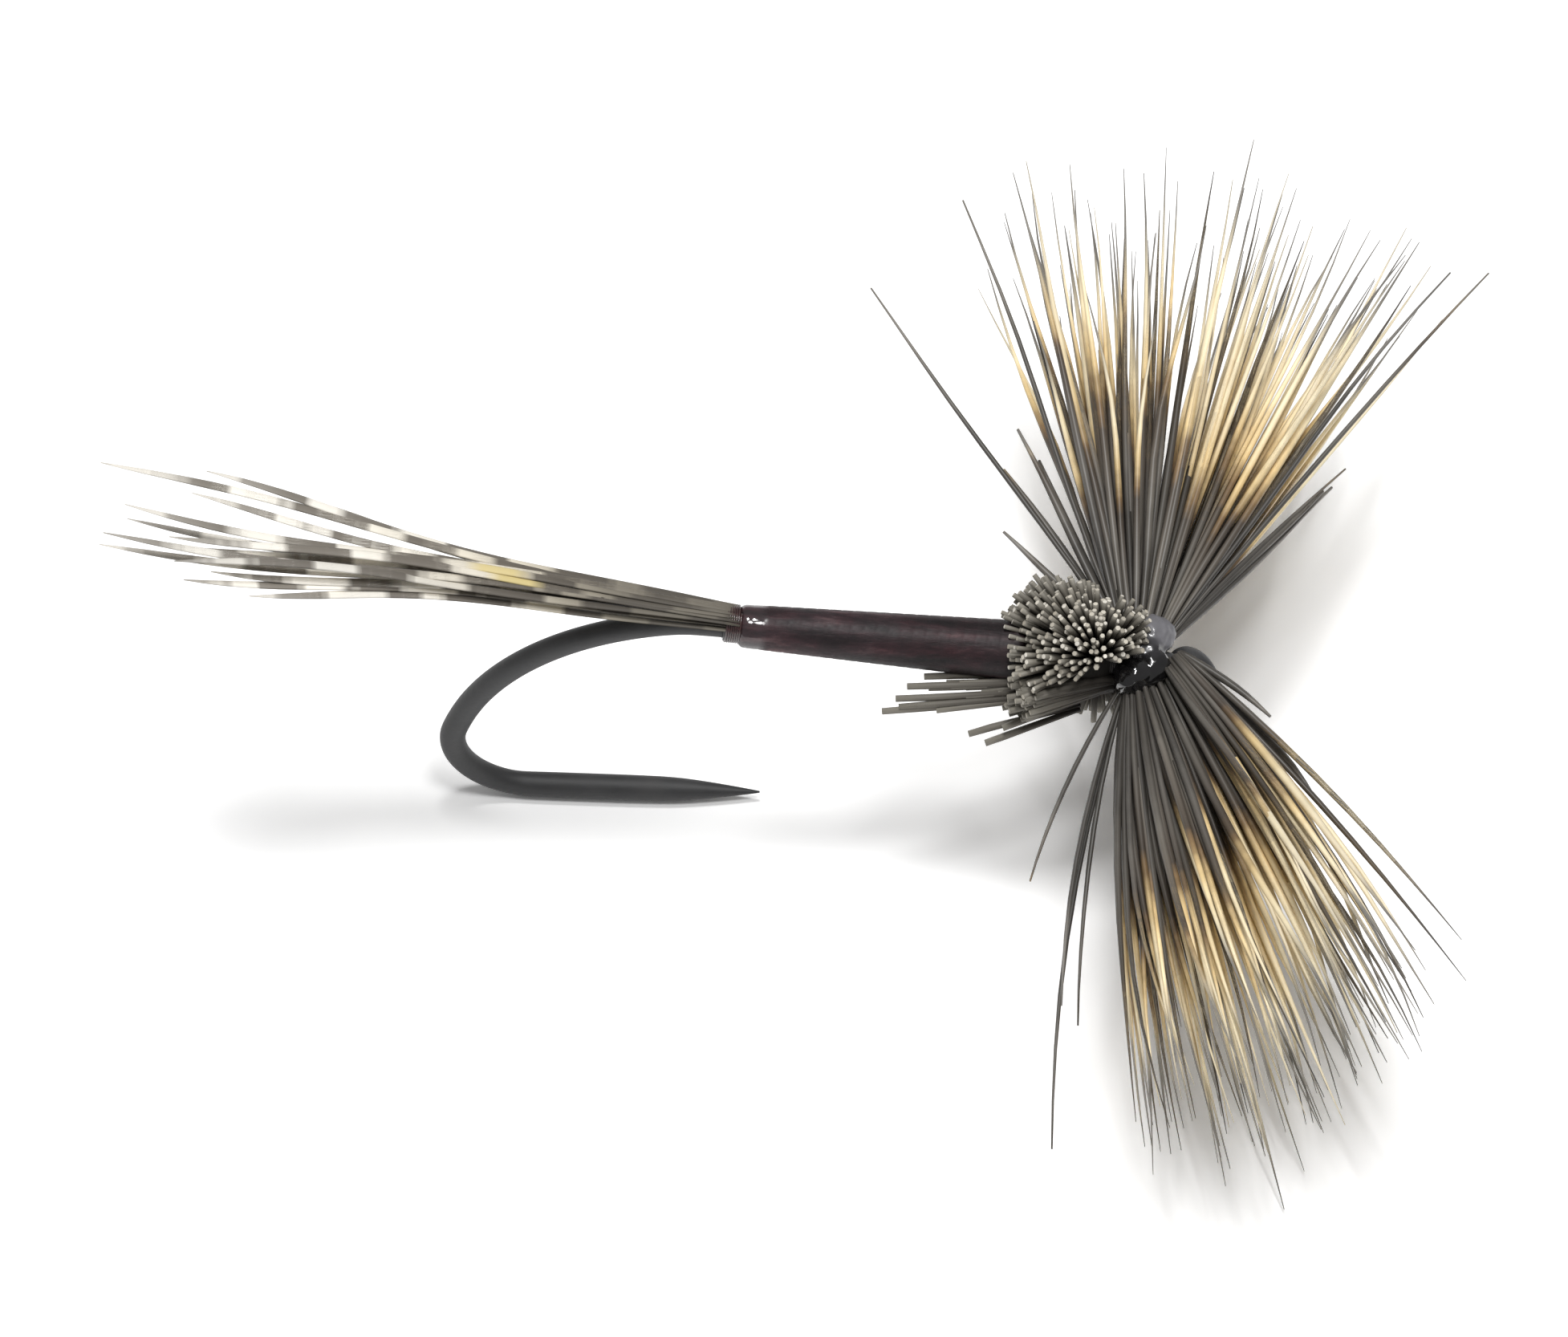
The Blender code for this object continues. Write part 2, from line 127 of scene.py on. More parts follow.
def srgb(red, green, blue):  # a colour as seen, 0 to 255, as a linear one
    linear = []
    for value in (red, green, blue):
        share = value / 255
        linear.append(share / 12.92 if share <= 0.04045 else ((share + 0.055) / 1.055) ** 2.4)
    return (*linear, 1)


def grey(value):  # a plain factor to multiply a colour by
    return (value, value, value, 1)


def newMaterial(name, roughness=0.5, coat=0.0, coatRoughness=0.03, specular=0.5):
    material = bpy.data.materials.new(name)
    material.use_nodes = True
    shader = material.node_tree.nodes["Principled BSDF"]
    shader.inputs["Roughness"].default_value = roughness
    shader.inputs["Coat Weight"].default_value = coat
    shader.inputs["Coat Roughness"].default_value = coatRoughness
    shader.inputs["Specular IOR Level"].default_value = specular
    return material, shader


def plug(tree, socket, value):  # a socket is linked, a plain value is set
    if isinstance(value, bpy.types.NodeSocket):
        tree.links.new(value, socket)
    else:
        socket.default_value = value


def addNode(tree, kind, inputs=None, **settings):
    node = tree.nodes.new(kind)
    for name, value in settings.items():
        setattr(node, name, value)
    for name, value in (inputs or {}).items():
        plug(tree, node.inputs[name], value)
    return node


def attributeOf(tree, name):
    return addNode(tree, "ShaderNodeAttribute", attribute_name=name).outputs["Fac"]


def noiseOf(tree, place, scale, detail, roughness=0.5):
    return addNode(tree, "ShaderNodeTexNoise", {
        "Vector": place, "Scale": scale, "Detail": detail, "Roughness": roughness}).outputs["Fac"]


def mathNode(tree, operation, first, second=0.0):
    node = addNode(tree, "ShaderNodeMath", operation=operation)
    plug(tree, node.inputs[0], first)
    plug(tree, node.inputs[1], second)
    return node.outputs[0]


def swing(tree, value, reach):  # a 0 to 1 value as one from minus half the reach to half of it
    return mathNode(tree, "MULTIPLY", mathNode(tree, "SUBTRACT", value, 0.5), reach)


def rampNode(tree, factor, stops, interpolation="LINEAR"):
    node = addNode(tree, "ShaderNodeValToRGB", {"Fac": factor})
    node.color_ramp.interpolation = interpolation
    elements = node.color_ramp.elements
    while len(elements) > 1:
        elements.remove(elements[-1])
    elements[0].position = stops[0][0]
    elements[0].color = stops[0][1]
    for position, colour in stops[1:]:
        elements.new(position).color = colour
    return node.outputs["Color"]


def mixColour(tree, factor, first, second, blend="MIX"):
    node = addNode(tree, "ShaderNodeMix", data_type="RGBA", blend_type=blend)
    for name, kind, value in (
            ("Factor", "VALUE", factor), ("A", "RGBA", first), ("B", "RGBA", second)):
        plug(tree, next(s for s in node.inputs if s.name == name and s.type == kind), value)
    return next(s for s in node.outputs if s.type == "RGBA")


def bumpNode(tree, height, distance):
    return addNode(tree, "ShaderNodeBump", {
        "Height": height, "Distance": distance}).outputs["Normal"]


def rangeNode(tree, value, low, high):
    return addNode(tree, "ShaderNodeMapRange", {
        "Value": value, "To Min": low, "To Max": high}).outputs["Result"]


def objectPlace(tree):
    return addNode(tree, "ShaderNodeTexCoord").outputs["Object"]


grainValues = {
    "apart": 731.0, "detail": 3.0,  # how far apart strands lie in the noise, and its detail
    "own": {"Shade": 0.0, "Shift": 17.3, "Kind": 41.9},  # a place in the noise for each own value
}


def makeStrandGrain():  # fine streaks along a strand, and three values that are its own
    group = bpy.data.node_groups.new("strandGrain", "ShaderNodeTree")
    for name in ("Along", "Strand", "Streaks"):
        group.interface.new_socket(name, in_out="INPUT", socket_type="NodeSocketFloat")
    for name in ("Streak", *grainValues["own"]):
        group.interface.new_socket(name, in_out="OUTPUT", socket_type="NodeSocketFloat")
    given = addNode(group, "NodeGroupInput")
    result = addNode(group, "NodeGroupOutput")
    spread = mathNode(group, "MULTIPLY", given.outputs["Strand"], grainValues["apart"])
    along = mathNode(group, "MULTIPLY", given.outputs["Along"], given.outputs["Streaks"])
    place = addNode(group, "ShaderNodeCombineXYZ", {"X": along, "Y": spread}).outputs[0]
    group.links.new(noiseOf(group, place, 1.0, grainValues["detail"]), result.inputs["Streak"])
    for name, apart in grainValues["own"].items():
        own = addNode(group, "ShaderNodeTexWhiteNoise", {
            "W": mathNode(group, "ADD", spread, apart)}, noise_dimensions="1D")
        group.links.new(own.outputs["Value"], result.inputs[name])
    return group


strandGrain = makeStrandGrain()


def grainOf(tree, streaks):
    along = attributeOf(tree, "along")
    grain = addNode(tree, "ShaderNodeGroup", node_tree=strandGrain)
    plug(tree, grain.inputs["Along"], along)
    plug(tree, grain.inputs["Strand"], attributeOf(tree, "strand"))
    plug(tree, grain.inputs["Streaks"], streaks)
    return (along, *(grain.outputs[name] for name in ("Streak", *grainValues["own"])))


# strands: one is modelled as a cut-up cylinder, and each copy is bent onto its own line

strandForm = {
    "sideHint": (0.3, 0.2, 1.0),  # in line with no strand
    "fieldMargin": 0.02,  # bare border of a strand's field of the map
}


def strandBlank(sides, rings):
    bpy.ops.object.select_all(action="DESELECT")
    bpy.ops.mesh.primitive_cylinder_add(
        vertices=sides, radius=1, depth=1, end_fill_type="NGON", location=(0, 0, 0.5))
    bpy.ops.object.transform_apply(location=True)
    blank = bpy.context.view_layer.objects.active
    bpy.context.tool_settings.mesh_select_mode = (False, True, False)
    bpy.ops.object.mode_set(mode="EDIT")
    bpy.ops.mesh.select_all(action="DESELECT")
    bpy.ops.object.mode_set(mode="OBJECT")
    for edge in blank.data.edges:  # the long edges, which are then cut into rings
        low, high = (blank.data.vertices[v].co.z for v in edge.vertices)
        edge.select = abs(high - low) > 0.5
    bpy.ops.object.mode_set(mode="EDIT")
    bpy.ops.mesh.subdivide(number_cuts=rings - 2)
    bpy.ops.object.mode_set(mode="OBJECT")
    bpy.ops.object.shade_smooth()
    blank.data.uv_layers[0].name = "OFBake"
    return blank


def placeInField(mesh, number, total, columns):  # a strand's own field of the bundle's map
    field = mesh.uv_layers["OFBake"].data
    spots = np.empty(len(field) * 2, np.float32)
    field.foreach_get("uv", spots)
    margin = strandForm["fieldMargin"]
    spots = spots.reshape(-1, 2) * (1 - 2 * margin) + margin
    spots[:, 0] = (spots[:, 0] + number % columns) / columns
    spots[:, 1] = (spots[:, 1] + number // columns) / math.ceil(total / columns)
    field.foreach_set("uv", spots.ravel())


def bendStrand(blank, line, radii, stations, own, flat=1.0):
    # line gives the point at each station, and own is the value that sets this strand apart
    mesh = blank.data.copy()
    places = pointsOf(mesh)
    level = np.rint(places[:, 2] * (len(stations) - 1)).astype(int)
    points = np.array([line(t) for t in stations])
    headings = np.gradient(points, axis=0)
    headings /= np.linalg.norm(headings, axis=1, keepdims=True)
    side = np.cross(headings[0], strandForm["sideHint"])
    sides = []
    for heading in headings:
        side = side - heading * side.dot(heading)
        side /= np.linalg.norm(side)
        sides.append(side)
    sides = np.array(sides)
    ups = np.cross(headings, sides)
    thick = np.asarray(radii)[level][:, None]
    placed = points[level] + thick * (
        places[:, :1] * sides[level] + flat * places[:, 1:2] * ups[level])
    mesh.vertices.foreach_set("co", placed.astype(np.float32).ravel())
    setAttribute(mesh, "along", np.asarray(stations)[level])
    setAttribute(mesh, "strand", np.full(len(places), own))
    return addObject("strand", mesh)


def gatherStrands(blank, strands):
    bpy.data.objects.remove(blank)
    bundle = joinPieces(strands)
    bundle.data.transform(flyPlace)
    return bundle


def interpolate(stations, table):
    return np.interp(stations, [row[0] for row in table], [row[1] for row in table])


# hook: the wire's own solid, merged and smoothed

hook = {
    "weld": 0.001 * mm, "smoothing": 2,
    "clouds": 900.0, "grit": 9000.0, "gritDepth": 0.006 * mm, "roughness": (0.46, 0.66),
}


def blackWire():
    material, shader = newMaterial("black_wire")
    tree = material.node_tree
    place = objectPlace(tree)
    clouds = noiseOf(tree, place, hook["clouds"], detail=4.0)
    grit = noiseOf(tree, place, hook["grit"], detail=2.0)
    tone = rampNode(tree, clouds, [
        (0.3, srgb(44, 44, 45)), (0.55, srgb(56, 56, 57)), (0.8, srgb(68, 67, 67))])
    plug(tree, shader.inputs["Base Color"], tone)
    plug(tree, shader.inputs["Roughness"], rangeNode(tree, clouds, *hook["roughness"]))
    plug(tree, shader.inputs["Normal"], bumpNode(tree, grit, hook["gritDepth"]))
    return material


def makeHook():
    wire = addObject("hook_wire", frame["nodes"]["hook"].data.copy())
    editAll(
        wire,
        (bpy.ops.mesh.remove_doubles, {"threshold": hook["weld"]}),
        (bpy.ops.mesh.tris_convert_to_quads, {}),
    )
    applyModifier(wire, "SUBSURF", levels=hook["smoothing"], render_levels=hook["smoothing"])
    bpy.ops.object.shade_smooth()
    finishPiece(wire, "hook_wire", blackWire(), "black_wire", "hook")


# thread: each winding is one line of thread round the shank

thread = {
    "radius": 0.024 * mm, "bevel": 2, "steps": 28, "weld": 0.001 * mm,
    # the thread's tone is scaled down in the fuzz's hollows and up on its raised fibres: painted
    # shade and painted light
    "fuzz": 16000.0, "fuzzDepth": 0.004 * mm, "paintedShadeTone": 0.45, "paintedLightTone": 1.9,
    "roughness": 0.42, "coatRoughness": 0.12,
    "black": {"tone": (34, 29, 28), "coat": 0.7}, "claret": {"tone": (52, 28, 28), "coat": 0.9},
}
tailLashing = {
    "start": -0.28 * mm, "length": 0.30 * mm, "radius": 0.37 * mm, "turns": 7, "lift": 0.06 * mm,
}
hairLashing = {"start": 7.30 * mm, "length": 0.16 * mm, "radius": 0.50 * mm, "turns": 4}
headWraps = {
    "start": 8.18 * mm, "length": 0.22 * mm, "rear": 0.46 * mm, "front": 0.31 * mm, "turns": 6,
}
crossWraps = {
    "start": 7.44 * mm, "length": 0.76 * mm, "radius": 0.47 * mm, "bulge": 0.08 * mm,
    "layerTurns": 16, "turns": 22, "swing": 0.30 * mm, "beats": 1.545,
    "drift": 11, "steady": 0.55, "fading": 0.45,  # of the swing, as it fades and returns
    "lumps": 0.02 * mm, "lumpBeats": 0.37,
}


def darkThread(name, kind):
    material, shader = newMaterial(
        name, thread["roughness"], coat=kind["coat"], coatRoughness=thread["coatRoughness"])
    tree = material.node_tree
    fuzz = noiseOf(tree, objectPlace(tree), thread["fuzz"], detail=3.0)
    tone = srgb(*kind["tone"])
    # painted shade in the fuzz's hollows and painted light on its raised fibres, following the same
    # noise as the bump
    dark = (*(thread["paintedShadeTone"] * c for c in tone[:3]), 1)
    pale = (*(thread["paintedLightTone"] * c for c in tone[:3]), 1)
    colour = rampNode(tree, fuzz, [(0.3, dark), (0.5, tone), (0.72, pale)])
    plug(tree, shader.inputs["Base Color"], colour)
    plug(tree, shader.inputs["Normal"], bumpNode(tree, fuzz, thread["fuzzDepth"]))
    return material


def windThread(points):  # a round thread along the points, closed at both ends
    curve = bpy.data.curves.new("thread", "CURVE")
    curve.dimensions = "3D"
    curve.bevel_depth = thread["radius"]
    curve.bevel_resolution = thread["bevel"]
    curve.use_fill_caps = True
    spline = curve.splines.new("POLY")
    spline.points.add(len(points) - 1)
    spline.points.foreach_set("co", [c for p in points for c in (*p, 1.0)])
    selectOnly(addObject("thread", curve))
    bpy.ops.object.convert(target="MESH")
    line = bpy.context.view_layer.objects.active
    bpy.context.tool_settings.mesh_select_mode = (True, False, False)
    bpy.ops.object.mode_set(mode="EDIT")
    bpy.ops.mesh.select_all(action="DESELECT")
    bpy.ops.mesh.select_non_manifold()
    bpy.ops.mesh.remove_doubles(threshold=thread["weld"])  # the caps to the line
    bpy.ops.object.mode_set(mode="OBJECT")
    bpy.ops.object.shade_smooth()
    return line


def windingPoints(start, length, turns, radiusAt, lift=0.0):
    points = []
    for k in range(turns * thread["steps"] + 1):
        turn = k / thread["steps"]
        angle = 2 * math.pi * turn
        radius = radiusAt(turn / turns)
        station = start + length * turn / turns
        points.append((station, radius * math.sin(angle), lift + radius * math.cos(angle)))
    return points


def crossingPoints():  # the thread swings from side to side as it goes round between the wings
    c = crossWraps
    points = []
    for k in range(c["turns"] * thread["steps"] + 1):
        angle = 2 * math.pi * k / thread["steps"]
        share = c["steady"] + c["fading"] * math.cos(angle / c["drift"])
        sway = math.sin(angle * c["beats"] / 2) * share
        station = c["start"] + c["length"] / 2 + c["swing"] * sway
        lump = c["lumps"] * math.sin(angle * c["lumpBeats"])
        radius = c["radius"] + c["bulge"] * (1 - sway ** 2) + lump
        points.append((station, radius * math.sin(angle), radius * math.cos(angle)))
    return points


def makeThreads():
    black = darkThread("dark_thread", thread["black"])
    claret = darkThread("tail_thread", thread["claret"])
    t, h, w, c = tailLashing, hairLashing, headWraps, crossWraps
    tailLine = windThread(windingPoints(
        t["start"], t["length"], t["turns"], lambda share: t["radius"], t["lift"]))
    hairLine = windThread(windingPoints(
        h["start"], h["length"], h["turns"], lambda share: h["radius"]))
    headLine = windThread(windingPoints(
        w["start"], w["length"], w["turns"],
        lambda share: w["rear"] + (w["front"] - w["rear"]) * share))
    barrel = windThread(windingPoints(
        c["start"], c["length"], c["layerTurns"],
        lambda share: c["radius"] + c["bulge"] * math.sin(math.pi * share) - c["lumps"]))
    crossLine = joinPieces([windThread(crossingPoints()), barrel])
    for line, name, material, node in (
            (tailLine, "tail_lashing_thread", claret, "tail_lashing"),
            (hairLine, "hair_lashing_thread", black, "hair_lashing"),
            (headLine, "head_thread", black, "head_wraps"),
            (crossLine, "cross_wrap_thread", black, "cross_wraps")):
        line.data.transform(flyPlace)
        finishPiece(line, name, material, "dark_thread", node)
    base = frame["nodes"]["thread_base"].data  # the solid itself stays in view
    base.materials.clear()
    base.materials.append(black)


# head cement: a glossy drop on the near side, and a dull film of it over the wings' roots

cement = {
    # centre along the shank, across and up, then its radii, in mm, and how far it has dulled
    "lobes": (
        ((7.86, -0.48, 0.14), (0.46, 0.38, 0.46), 0.0),
        ((8.22, -0.26, 0.24), (0.38, 0.36, 0.34), 0.05),
        ((8.00, 0.10, 0.32), (0.40, 0.40, 0.32), 0.5),
        ((8.20, 0.42, 0.36), (0.42, 0.44, 0.28), 1.0),
    ),
    "roundness": 4, "voxel": 0.03, "lumpSize": 0.36, "lump": 0.18, "smoothing": 9,
    "falloff": 4.0,  # of a lobe's say in how dull a point is
    "clouds": 2600.0, "patchiness": 0.7, "roughness": (0.08, 0.5), "coat": (1.0, 0.15),
}


def headCementFinish():
    c = cement
    material, shader = newMaterial("head_cement")
    tree = material.node_tree
    dulled = attributeOf(tree, "dulled")
    clouds = noiseOf(tree, objectPlace(tree), c["clouds"], detail=3.0)
    mask = mathNode(tree, "ADD", dulled, swing(tree, clouds, c["patchiness"]))
    colour = rampNode(tree, mask, [
        (0.2, srgb(22, 21, 22)), (0.5, srgb(48, 47, 50)), (0.85, srgb(112, 111, 115))])
    plug(tree, shader.inputs["Base Color"], colour)
    plug(tree, shader.inputs["Roughness"], rangeNode(tree, mask, *c["roughness"]))
    plug(tree, shader.inputs["Coat Weight"], rangeNode(tree, mask, *c["coat"]))
    return material


def makeCement():
    c = cement
    lobes = []
    for centre, radii, _ in c["lobes"]:
        bpy.ops.object.select_all(action="DESELECT")
        bpy.ops.mesh.primitive_ico_sphere_add(subdivisions=c["roundness"], radius=1)
        lobes.append(bpy.context.view_layer.objects.active)
        stretchBall(radii, centre)
    drop = joinPieces(lobes)
    applyModifier(drop, "REMESH", mode="VOXEL", voxel_size=c["voxel"])
    clouds = bpy.data.textures.new("cementLumps", "CLOUDS")
    clouds.noise_scale = c["lumpSize"]
    applyModifier(drop, "DISPLACE", texture=clouds, strength=c["lump"], texture_coords="LOCAL")
    applyModifier(drop, "SMOOTH", iterations=c["smoothing"])
    bpy.ops.object.shade_smooth()
    places = pointsOf(drop.data)
    nearness = np.array([
        np.linalg.norm((places - centre) / radii, axis=1) ** -c["falloff"]
        for centre, radii, _ in c["lobes"]])
    weights = nearness / nearness.sum(axis=0)
    setAttribute(drop.data, "dulled", weights.T @ np.array([dulled for *_, dulled in c["lobes"]]))
    drop.data.transform(flyPlace @ Matrix.Scale(mm, 4))
    finishPiece(drop, "cement_drop", headCementFinish(), "head_cement", "head_cement")


# abdomen: a lacquered body wound round the shank, turned by the screw

abdomen = {
    "length": 5.68 * mm, "rearRadius": 0.425 * mm, "frontRadius": 0.6 * mm,
    "turns": 25, "spare": 2, "steps": 48, "weld": 0.0001, "crease": math.radians(50),
    "ridge": 0.004 * mm, "rim": 0.15 * mm, "rimDrop": 0.22,
    "outline": (  # of one turn: share of its width, share of the ridge
        (0.0, 0.0), (0.14, 0.7), (0.35, 1.0), (0.65, 1.0), (0.86, 0.7), (1.0, 0.0)),
    "streaks": 3000.0, "stretch": (0.22, 1.0, 1.0), "streakRoughness": 0.65,
    "streakDepth": 0.035 * mm, "blotches": 1100.0, "speckle": 12000.0, "turnShade": 0.35,
    "roughness": (0.5, 0.7), "coat": (0.06, 1.0), "coatRoughness": (0.3, 0.06),
}


def claretLacquer():
    a = abdomen
    material, shader = newMaterial("claret_lacquer", specular=0.3)
    tree = material.node_tree
    place = objectPlace(tree)
    along = attributeOf(tree, "along")
    stretched = addNode(tree, "ShaderNodeMapping", {"Vector": place, "Scale": a["stretch"]})
    streaks = noiseOf(
        tree, stretched.outputs[0], a["streaks"], detail=5.0, roughness=a["streakRoughness"])
    blotches = noiseOf(tree, place, a["blotches"], detail=3.0)
    speckle = noiseOf(tree, place, a["speckle"], detail=2.0)
    colour = rampNode(tree, streaks, [
        (0.30, srgb(18, 14, 16)), (0.44, srgb(36, 27, 30)), (0.56, srgb(56, 40, 44)),
        (0.72, srgb(96, 74, 76))])
    claret = rampNode(tree, blotches, [(0.45, grey(1.0)), (0.7, (1.3, 0.82, 0.88, 1))])
    colour = mixColour(tree, 1.0, colour, claret, "MULTIPLY")
    turn = rampNode(tree, attributeOf(tree, "around"), [
        (0.0, grey(1.0)), (0.12, grey(0.75)), (0.3, grey(1.0))])
    colour = mixColour(tree, a["turnShade"], colour, turn, "MULTIPLY")
    ends = rampNode(tree, along, [
        (0.0, grey(0.9)), (0.06, grey(1.0)), (0.85, grey(0.68)), (1.0, grey(0.4))])
    colour = mixColour(tree, 1.0, colour, ends, "MULTIPLY")
    plug(tree, shader.inputs["Base Color"], colour)
    plug(tree, shader.inputs["Roughness"], rangeNode(tree, speckle, *a["roughness"]))
    # varnish on the tie-in
    wet = rampNode(tree, along, [(0.0, grey(1.0)), (0.075, grey(1.0)), (0.1, grey(0.0))])
    plug(tree, shader.inputs["Coat Weight"], rangeNode(tree, wet, *a["coat"]))
    plug(tree, shader.inputs["Coat Roughness"], rangeNode(tree, wet, *a["coatRoughness"]))
    plug(tree, shader.inputs["Normal"], bumpNode(tree, streaks, a["streakDepth"]))
    return material


def makeAbdomen():
    a = abdomen
    length = a["length"] / mm  # turned in millimetres, on a radius of 1
    pitch = length / (a["turns"] - a["spare"])
    profile = bpy.data.meshes.new("abdomen")
    profile.from_pydata(
        [(1 + a["ridge"] / a["rearRadius"] * rise, 0, pitch * (share - 1))
         for share, rise in a["outline"]],
        [(k, k + 1) for k in range(len(a["outline"]) - 1)], [])
    body = addObject("abdomen", profile)
    applyModifier(
        body, "SCREW", axis="Z", angle=2 * math.pi, screw_offset=pitch, iterations=a["turns"],
        steps=a["steps"], render_steps=a["steps"], use_smooth_shade=True)
    bpy.ops.object.mode_set(mode="EDIT")
    bpy.ops.mesh.select_all(action="SELECT")
    bpy.ops.mesh.remove_doubles(threshold=a["weld"])  # each turn to the next
    for station, side in ((0, -1), (length, 1)):
        bpy.ops.mesh.select_all(action="SELECT")
        bpy.ops.mesh.bisect(
            plane_co=(0, 0, station), plane_no=(0, 0, side), use_fill=True, clear_outer=True)
    bpy.ops.object.mode_set(mode="OBJECT")
    mesh = body.data
    along, around = [], []
    for vertex in mesh.vertices:
        x, y, z = vertex.co
        share = z / length
        radius = a["rearRadius"] + (a["frontRadius"] - a["rearRadius"]) * share
        near = min(z, length - z) * mm / a["rim"]
        if near < 1:  # the ends are rounded over
            radius *= 1 - a["rimDrop"] * (1 - math.sqrt(max(0.0, 1 - (1 - near) ** 2)))
        along.append(share)
        around.append((z / pitch - math.atan2(y, x) / (2 * math.pi)) % 1.0)
        vertex.co = (z * mm, radius * y, radius * x)
    setAttribute(mesh, "along", along)
    setAttribute(mesh, "around", around)
    editAll(body, (bpy.ops.mesh.normals_make_consistent, {"inside": False}))
    bpy.ops.object.shade_smooth_by_angle(angle=a["crease"])
    mesh.transform(flyPlace)
    finishPiece(body, "abdomen_quill", claretLacquer(), "claret_lacquer", "abdomen")


# tail: fourteen barred fibres, each its own piece

tail = {
    "perRow": 7, "length": 13.2 * mm, "yaw": math.radians(1.9),
    "lift": math.radians(3.3), "rowLift": math.radians(2.0), "bow": 0.03, "opening": 1.7,
    "tips": (  # how far to the left, as a share of the fibre, and the fibre's share of the length
        (-0.092, 0.74), (-0.084, 0.84), (-0.076, 0.80), (-0.068, 0.97), (-0.046, 0.90),
        (-0.024, 0.93), (0.080, 0.62), (-0.078, 0.86), (-0.060, 0.97), (-0.036, 0.87),
        (-0.010, 0.94), (0.018, 0.84), (0.056, 0.98), (0.066, 0.82)),
    "rootRadius": 0.34 * mm, "rowStep": 0.07 * mm,
    "rowArcs": (math.radians(52), math.radians(30)),
    "thickness": (  # along the fibre, radius in mm
        (0, 0.06), (0.12, 0.085), (0.3, 0.1), (0.6, 0.12), (0.84, 0.11), (0.94, 0.07), (1, 0.015)),
    "flat": 0.3, "rings": 30, "sides": 8, "seed": 5,
    "wave": 0.13 * mm, "waveBeats": 7, "waveRise": 0.6,
    "bars": 5.2, "barWander": 1.2, "streaks": 9.0, "streakDepth": 0.01 * mm,
}


def barredFibre():
    material, shader = newMaterial("barred_fibre", 0.55, specular=0.35)
    tree = material.node_tree
    along, streak, shade, shift, _ = grainOf(tree, tail["streaks"])
    bars = mathNode(tree, "MULTIPLY", along, tail["bars"])
    bars = mathNode(tree, "ADD", bars, swing(tree, streak, tail["barWander"]))
    bars = mathNode(tree, "FRACT", mathNode(tree, "ADD", bars, shift))
    barring = rampNode(tree, bars, [
        (0.0, grey(0.0)), (0.46, grey(0.0)), (0.58, grey(1.0)), (0.9, grey(1.0)), (1.0, grey(0.0))])
    dark = rampNode(tree, along, [(0.3, srgb(102, 96, 88)), (0.9, srgb(132, 127, 120))])
    pale = rampNode(tree, along, [(0.3, srgb(214, 206, 188)), (0.7, srgb(250, 247, 240))])
    barring = mixColour(tree, barring, dark, pale)
    rootShare = rampNode(tree, along, [(0.0, grey(0.9)), (0.22, grey(0.78)), (0.42, grey(0.0))])
    colour = mixColour(tree, rootShare, barring, srgb(84, 80, 74))
    # a yellow spot on a few of the fibres
    spot = rampNode(tree, along, [
        (0.34, grey(0.0)), (0.37, grey(1.0)), (0.42, grey(1.0)), (0.45, grey(0.0))])
    spotted = rampNode(tree, attributeOf(tree, "strand"), [
        (0.0, grey(0.0)), (0.64, grey(0.9)), (0.79, grey(0.0))], "CONSTANT")
    spot = mathNode(tree, "MULTIPLY", spot, spotted)
    colour = mixColour(tree, spot, colour, srgb(222, 205, 146))
    tipShare = rampNode(tree, along, [(0.84, grey(0.0)), (1.0, grey(0.6))])
    colour = mixColour(tree, tipShare, colour, srgb(206, 202, 196))
    level = rampNode(tree, shade, [(0.0, (0.8, 0.79, 0.77, 1)), (1.0, (1.1, 1.08, 1.04, 1))])
    colour = mixColour(tree, 1.0, colour, level, "MULTIPLY")
    plug(tree, shader.inputs["Base Color"], colour)
    plug(tree, shader.inputs["Normal"], bumpNode(tree, streak, tail["streakDepth"]))
    return material


def makeTail():
    t = tail
    finish = barredFibre()
    blank = strandBlank(t["sides"], t["rings"])
    rng = random.Random(t["seed"])
    stations = np.linspace(0, 1, t["rings"])
    radii = interpolate(stations, t["thickness"]) * mm
    for number, (tip, share) in enumerate(t["tips"]):
        row, column = divmod(number, t["perRow"])
        across = 2 * column / (t["perRow"] - 1) - 1
        turn = across * t["rowArcs"][row]
        reach = t["rootRadius"] + row * t["rowStep"]
        root = Vector((0, reach * math.sin(turn), reach * math.cos(turn)))
        lift = t["lift"] + row * t["rowLift"]
        heading = Vector((-math.cos(t["yaw"]), math.sin(t["yaw"]), math.tan(lift))).normalized()
        length = t["length"] * share
        phase = rng.uniform(0, 2 * math.pi)

        def line(share):
            flutter = t["wave"] * share * math.sin(phase + t["waveBeats"] * share)
            aside = tip * length * share ** t["opening"] + flutter
            above = t["bow"] * length * share ** 2 + flutter * t["waveRise"]
            return root + heading * (length * share) + Vector((0, aside, above))

        own = (number + 0.5) / len(t["tips"])
        fibre = bendStrand(blank, line, radii, stations, own, t["flat"])
        fibre.data.transform(flyPlace)
        place = f"{number + 1:02d}"
        finishPiece(fibre, "tail_barb_" + place, finish, "barred_fibre", "tail_fibre_" + place)
    bpy.data.objects.remove(blank)


# clipped butts: the hair's cut ends, trimmed to a ball behind the wings

